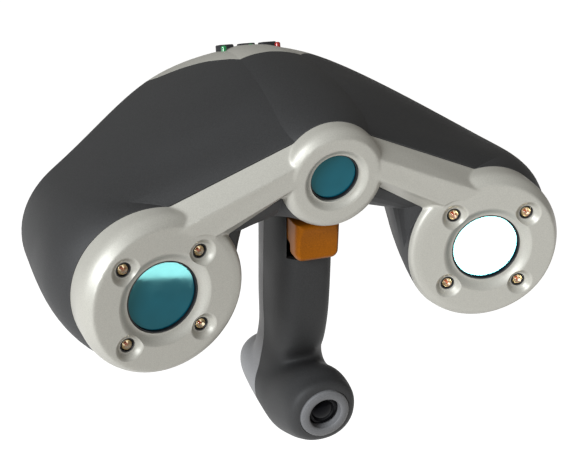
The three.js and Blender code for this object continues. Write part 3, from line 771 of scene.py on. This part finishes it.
def build_lamp(name, place):
    """A clear lamp with a reflector cup and an amber die in the resin."""
    dome = [(0, 1.4), (0.7, 1.5), (1.35, 1.85), (1.9, 2.4), (2.3, 3.1), (2.5, 3.9), (2.5, 8.4), (0, 8.4)]
    body = lathe("lamp_body_" + name, dome, 40, place)
    smooth(body)
    body.visible_shadow = False
    finish_piece(body, epoxy, "clear_lamp", "scanner", "lamp_" + name)
    cup = [(0, 4.7), (0.8, 4.6), (1.9, 3.5), (2.15, 3.5), (2.15, 5.4), (0, 5.4)]
    reflector = lathe("lamp_cup_" + name, cup, 28, place)
    smooth(reflector)
    finish_piece(reflector, brass, "clear_lamp", "scanner")
    die = lathe("lamp_die_" + name, [(0, 3.9), (0.45, 4.0), (0.45, 4.55), (0, 4.55)], 6, place)
    finish_piece(die, amber, "clear_lamp", "scanner")
    seat = [(2.8, 3.0), (2.95, 2.8), (3.2, 2.8), (3.3, 2.95), (3.3, 6), (2.8, 6), (2.8, 3.0)]
    holder = lathe("lamp_holder_" + name, seat, 40, place)
    smooth(holder)
    finish_piece(holder, black, "black_plastic", "scanner", "lamp_seat_" + name)


def build_cameras():
    build_camera("middle", MIDDLE, MID_HOLE_R)
    for side, place in PODS.items():
        build_camera(side, place, POD_HOLE_R)
        for i, (x, z) in enumerate(LED_PLACES):
            build_lamp(f"{side}_{i + 1}", place @ Matrix.Translation((x, 0, z)))


# ---------- handle ----------
def section(half_width, first, second, place, power, steps):
    """Superellipse ring: its half width, and its reach to either side along the other axis."""
    centre, half = (first + second) / 2, (second - first) / 2
    ring = []
    for i in range(steps):
        angle = 2 * math.pi * i / steps
        c, s = math.cos(angle), math.sin(angle)
        across = half_width * math.copysign(abs(c) ** (2 / power), c)
        along = centre + half * math.copysign(abs(s) ** (2 / power), s)
        ring.append(place(across, along))
    return ring


def eased(rows, steps):
    """Rows of numbers with smooth rows in between."""
    made = []
    for i in range(len(rows) - 1):
        before, after = rows[max(i - 1, 0)], rows[min(i + 2, len(rows) - 1)]
        for k in range(steps):
            t = k / steps
            row = []
            for p0, p1, p2, p3 in zip(before, rows[i], rows[i + 1], after):
                slope1, slope2 = (p2 - p0) / 2, (p3 - p1) / 2
                row.append(
                    (2 * t**3 - 3 * t**2 + 1) * p1
                    + (t**3 - 2 * t**2 + t) * slope1
                    + (-2 * t**3 + 3 * t**2) * p2
                    + (t**3 - t**2) * slope2
                )
            made.append(row)
    return made + [list(rows[-1])]


def grip_body(inset, top, fine):
    rows = [
        [top, GRIP_HALF, GRIP_FRONT + 1.5, GRIP_REAR + 2],
        [26, GRIP_HALF, GRIP_FRONT, GRIP_REAR],
        [-5, GRIP_HALF, GRIP_FRONT + 0.5, GRIP_REAR - 1],
        [-24, GRIP_HALF - 0.8, GRIP_FRONT + 3, GRIP_REAR - 1],
        [-34, GRIP_HALF - 0.4, -17, GRIP_REAR],
        [-42, GRIP_HALF + 1, -18, GRIP_REAR + 1],
        [-52, GRIP_HALF + 2.4, -18, GRIP_REAR + 3],
    ]
    steps = 96 if fine else 24
    rings = []
    for z, half, front, rear in eased(rows, 8) if fine else rows:
        ring = section(half - inset, front + inset, rear - inset, lambda x, y: Vector((x, y, z)), 3, steps)
        rings.append(ring)
    return loft("grip", rings)


def foot_body(inset, fine):
    rows = [
        [TOE_Y + inset, LASER_R + 1.2, TOE_Z - LASER_R - 1.2, TOE_Z + LASER_R + 1.2],
        [TOE_Y + 2 + inset / 2, TOE_R - 1, TOE_Z - TOE_R + 1, TOE_Z + TOE_R - 1],
        [TOE_Y + 6, TOE_R + 0.4, -68.6, TOE_Z + TOE_R - 0.6],
        [-32, 19.3, -73.4, -30.5],
        [-16, 19.6, -79.5, -36],
        [2, 19.2, -80.5, -38],
        [20, 18.4, -80.2, -40],
        [34, 17, -78, -45],
        [41 - inset / 2, 14, -74.5, -51],
        [43.5 - inset, 9, -68.5, -57.5],
    ]
    steps = 96 if fine else 24
    rings = []
    for y, half, low, high in eased(rows, 6) if fine else rows:
        ring = section(half - inset, low + inset, high - inset, lambda x, z: Vector((x, y, z)), 2.2, steps)
        rings.append(ring)
    return loft("foot", rings)


def fill_neck(body):
    """Extra smoothing where the grip runs into the foot."""
    neck = body.vertex_groups.new(name="neck")
    for v in body.data.vertices:
        behind_toe = min(max((v.co.y / MM + 40) / 8, 0), 1)
        weight = behind_toe * (1 - abs(v.co.z / MM + 38) / 19)
        if weight > 0:
            neck.add([v.index], weight, "REPLACE")
    relax = body.modifiers.new("neck", "SMOOTH")
    relax.factor = 0.6
    relax.iterations = 120
    relax.vertex_group = "neck"
    bake(body)
    body.vertex_groups.clear()


def build_handle():
    """The two handle shells, from one body whose neck flows into the foot."""
    body = grip_body(0, GRIP_TOP, True)
    combine(body, foot_body(0, True), "UNION")
    soften(body, 0.8, 22)
    fill_neck(body)
    room = grip_body(WALL + 0.2, GRIP_TOP + 1, False)
    combine(room, foot_body(WALL + 0.2, False), "UNION")
    combine(body, room, "DIFFERENCE")

    front = copy_of(body, "handle_front_skin")
    half = box_object("cutter", (120, 100, 200), (0, PARTING_Y - GAP / 2 - 50, 0))
    combine(front, half, "INTERSECT")
    combine(front, box_object("cutter", (23.4, 23, 27), (0, -19.5, 39.3)), "DIFFERENCE")
    bore = lathe("cutter", [(0, -5), (LASER_R + GAP, -5), (LASER_R + GAP, 8), (0, 8)], 96, LASER)
    combine(front, bore, "DIFFERENCE")
    smooth(front, 35)
    finish_piece(front, dark, "dark_shell", "scanner", "handle_front_shell")

    rear = body
    rear.name = "handle_rear_skin"
    half = box_object("cutter", (120, 100, 200), (0, PARTING_Y + GAP / 2 + 50, 0))
    combine(rear, half, "INTERSECT")
    wall = foot_body(0.3, False)
    combine(wall, box_object("cutter", (30, 5.2, 19), (0, 35.8, INLET_Z)), "INTERSECT")
    combine(rear, wall, "UNION")
    combine(rear, box_object("cutter", (24, 12, 13), (0, 44.5, INLET_Z)), "DIFFERENCE")
    combine(rear, box_object("cutter", (9.6, 20, 7.6), (DATA_X, 36, INLET_Z)), "DIFFERENCE")
    jack_place = Matrix.Translation((JACK_X, 0, INLET_Z))
    jack = lathe("cutter", [(0, 26), (4.3, 26), (4.3, 46), (0, 46)], 48, jack_place)
    combine(rear, jack, "DIFFERENCE")
    for z in HANDLE_SCREWS_Z:
        profile = [(0, GRIP_REAR - 10), (1.8, GRIP_REAR - 10), (1.8, GRIP_REAR - 2.2), (3.3, GRIP_REAR - 2.2)]
        profile += [(3.3, GRIP_REAR + 4), (0, GRIP_REAR + 4)]
        combine(rear, lathe("cutter", profile, 40, Matrix.Translation((0, 0, z))), "DIFFERENCE")
    smooth(rear, 35)
    finish_piece(rear, grey, "grey_shell", "scanner", "handle_rear_shell")


# ---------- laser ----------
def build_laser():
    bezel = [(8.4, -1.0), (8.8, -1.4), (9.4, -1.6), (10.8, -1.6), (12, -1.3), (12.7, -0.8), (13, 0), (13, 6)]
    bezel += [(8.2, 6), (8.2, 2.2), (8.4, -1.0)]
    ring = lathe("laser_ring", bezel, 96, LASER)
    smooth(ring)
    finish_piece(ring, bezel_grey, "grey_shell", "scanner", "laser_bezel")
    lens = [(0, 0.6), (1.8, 0.7), (3.4, 1.0), (4.8, 1.55), (5.9, 2.2)]
    rim = [(6.2, 2.0), (7.0, 2.0), (7.8, 2.7), (7.8, 5.6), (0, 5.6)]
    dome = lathe("laser_dome", lens + rim, 72, LASER)
    smooth(dome)
    finish_piece(dome, laser_glass, "filter_glass", "scanner", "laser_lens")


# ---------- trigger ----------
def curve(start, pull, end, steps):
    """Points of a quadratic curve between plain pairs, without its last one."""
    return [tuple(p) for p in quadratic(Vector(start), Vector(pull), Vector(end), steps)]


def build_trigger():
    """Trigger with a softly crowned finger pad and rounded edges."""
    width, top, bottom, front, pad_back = 22.4, 47.3, 27.8, -33, -23.5
    rear = TRIGGER_PIVOT_Y + 3.4
    crown = front + 1.6, (top + bottom) / 2
    side = [(rear, top - 0.6)]
    side += curve((front + 2.2, top), (front, top), (front + 0.1, top - 2), 6)
    side += curve((front + 0.1, top - 2), crown, (front + 0.6, bottom + 2.4), 12)
    side += curve((front + 0.6, bottom + 2.4), (front + 0.4, bottom), (front + 3, bottom + 0.2), 6)
    side += [(front + 3, bottom + 0.2), (pad_back, bottom + 0.8)]
    side += [(pad_back + 0.4, bottom + 7), (rear, bottom + 10)]
    half = width / 2
    lever = prism("trigger_skin", [(-half, y, z) for y, z in side], [(half, y, z) for y, z in side])
    nose = box_object("nose", (width, 60, 60), (0, front + 30, bottom + 30))
    corners = nose.modifiers.new("bevel", "BEVEL")
    corners.width = 4.2 * MM
    corners.segments = 8
    bake(nose)
    combine(lever, nose, "INTERSECT")
    soften(lever, 0.35, 8)
    pivot = Matrix.Translation((0, TRIGGER_PIVOT_Y, TRIGGER_PIVOT_Z))
    pin_hole = pivot @ Matrix.Rotation(math.pi / 2, 4, "Z")
    combine(lever, lathe("cutter", [(0, -20), (1.6, -20), (1.6, 20), (0, 20)], 32, pin_hole), "DIFFERENCE")
    smooth(lever, 30)
    finish_piece(lever, orange, "trigger_orange", "trigger", "trigger")


def rounded_box(name, size, centre, radius, place=None):
    made = box_object(name, size, centre, place)
    bevel = made.modifiers.new("bevel", "BEVEL")
    bevel.width = radius * MM
    bevel.segments = 4
    bake(made)
    smooth(made, 40)
    return made


# ---------- keys, status lamps, screws and sockets ----------
def keypad_frame():
    slope = math.atan2(crest_height(KEYPAD_Y + 10) - crest_height(KEYPAD_Y - 10), 20)
    return Matrix.Translation((0, KEYPAD_Y, crest_height(KEYPAD_Y))) @ Matrix.Rotation(slope, 4, "X")


def build_keypad():
    keypad = keypad_frame()
    for name, x in (("minus", -KEY_STEP), ("mode", 0), ("plus", KEY_STEP)):
        key = rounded_box("key_" + name, (8, 8, 6), (x, 0, 0.7 - 3), 0.7, keypad)
        finish_piece(key, rubber, "key_rubber", "button_" + name, "button_" + name)
    dome = [(0, -5.2), (1.5, -5.2), (1.5, -0.8), (1.4, -0.45), (1.1, -0.12), (0.6, 0.05), (0, 0.1)]
    for name, x in (("low", -STATUS_STEP), ("ready", 0), ("high", STATUS_STEP)):
        place = keypad @ Matrix.Translation((x, STATUS_Y, 0)) @ Matrix.Rotation(math.pi / 2, 4, "X")
        lamp = lathe("status_" + name, dome, 32, place)
        smooth(lamp, 50)
        tint = (red_lens, "red_lamp") if name == "high" else (green_lens, "green_lamp")
        finish_piece(lamp, *tint, "scanner", "status_lamp_" + name)


def build_screw(name, x, z, head_y, length):
    """Button-head screw with a hexagon socket, its head towards the back."""
    shank = [(0, 0), (1.3, 0), (1.5, 0.3), (1.5, length), (2.9, length), (3, length + 0.1), (3, length + 0.8)]
    head = [(2.75, length + 1.25), (2.1, length + 1.55), (0, length + 1.6)]
    place = Matrix.Translation((x, head_y - length, z))
    body = lathe(name + "_fine", shank + head, 48, place)
    socket = [(0, length + 0.7), (1.15, length + 0.7), (1.15, length + 3), (0, length + 3)]
    combine(body, lathe("socket", socket, 6, place), "DIFFERENCE")
    smooth(body)
    finish_piece(body, steel, "steel", "scanner", name)


def build_screws():
    for i, x in enumerate(COVER_SCREWS_X):
        build_screw(f"cover_screw_{i + 1}", x, COVER_SCREW_Z, BACK_Y - SCREW_SINK + GAP, 9)
    for i, z in enumerate(HANDLE_SCREWS_Z):
        build_screw(f"handle_screw_{i + 1}", 0, z, GRIP_REAR - SCREW_SINK + GAP, 11)


def build_sockets():
    shell = rounded_box("data_socket", (9, 12, 7), (DATA_X, 32, INLET_Z), 0.5)
    combine(shell, box_object("cutter", (7.4, 8, 5.4), (DATA_X, 35, INLET_Z)), "DIFFERENCE")
    smooth(shell)
    finish_piece(shell, steel, "steel", "scanner", "data_inlet")
    tongue = rounded_box("data_tongue", (5, 5, 1.8), (DATA_X, 33.7, INLET_Z), 0.2)
    finish_piece(tongue, black, "black_plastic", "scanner")
    cup = [(0, 26), (4, 26), (4, 37.8), (3.8, 38), (3.1, 38), (2.9, 37.8), (2.9, 30), (0.9, 30)]
    pin = [(0.9, 36.6), (0.5, 37), (0, 37)]
    jack = lathe("power_socket", cup + pin, 48, Matrix.Translation((JACK_X, 0, INLET_Z)))
    smooth(jack)
    finish_piece(jack, black, "black_plastic", "scanner", "power_inlet")


build_head()
build_keypad()
build_screws()
build_sockets()
build_front_frame()
build_cameras()
build_handle()
build_laser()
build_trigger()

# ---------- stage, light and camera ----------
FLOOR_Z = -0.9


def build_floor():
    reach = 9000
    corners = [(-reach, -reach, 0), (reach, -reach, 0), (reach, reach, 0), (-reach, reach, 0)]
    floor = make_object("floor", corners, [(0, 1, 2, 3)])
    floor.location.z = FLOOR_Z
    m = Nodes("floor_paper", (0.93, 0.93, 0.93), 0.8)
    m.shader.inputs["Emission Color"].default_value = (1, 1, 1, 1)
    m.shader.inputs["Emission Strength"].default_value = 0.78
    m.bumps((m.noise(0.002, 2.0), 0.0001, 0.1))
    floor.data.materials.append(m.material)
    floor.visible_diffuse = False


def area_light(name, place, aim, width, height, power):
    data = bpy.data.lights.new(name, "AREA")
    data.shape = "RECTANGLE"
    data.size = width
    data.size_y = height
    data.energy = power
    light = bpy.data.objects.new(name, data)
    scene.collection.objects.link(light)
    light.location = place
    light.rotation_euler = (Vector(aim) - Vector(place)).to_track_quat("-Z", "Y").to_euler()
    return light


def lens_panel(side, place, roll, width, height, power):
    """A panel that is only seen as the reflection in one outer lens."""
    panel = area_light("panel_" + side, place, (0, 0, 0), width, height, power)
    turn = Matrix(((1, 0, 0), (0, 0, -1), (0, 1, 0))) @ Matrix.Rotation(math.radians(roll), 3, "Z")
    panel.rotation_euler = turn.to_euler()
    panel.visible_diffuse = False
    lit = bpy.data.collections.new("seen_in_" + side)
    lit.objects.link(bpy.data.objects["window_" + side])
    panel.light_linking.receiver_collection = lit


def build_light():
    world = bpy.data.worlds.new("studio")
    world.use_nodes = True
    background = world.node_tree.nodes["Background"]
    background.inputs["Color"].default_value = (1, 0.975, 0.93, 1)
    background.inputs["Strength"].default_value = 0.26
    scene.world = world
    key = area_light("key", (-1.5, -0.85, 0.85), (0, 0, 0.03), 0.8, 0.8, 42)
    key.data.color = (0.92, 0.96, 1.0)
    lens_panel("left", (1.045, -1.4, -0.717), -18.1, 0.5, 0.24, 8)
    lens_panel("right", (0.3, -1.4, -0.585), 0, 0.45, 0.45, 60)


def build_camera_view():
    """The viewing angle: from the front left, a little above."""
    data = bpy.data.cameras.new("camera")
    data.sensor_width = 36
    data.lens = 62.28
    data.clip_start = 0.01
    data.clip_end = 50
    camera = bpy.data.objects.new("camera", data)
    scene.collection.objects.link(camera)
    place = Vector((-0.1713, -0.4274, 0.2353))
    aim = Vector((-0.0026, 0, 0.0268))
    roll = Matrix.Rotation(math.radians(1.28), 4, "Z")
    turn = (aim - place).to_track_quat("-Z", "Y").to_matrix().to_4x4()
    camera.matrix_world = Matrix.Translation(place) @ turn @ roll
    scene.camera = camera


build_floor()
build_light()
build_camera_view()

bpy.context.view_layer.update()
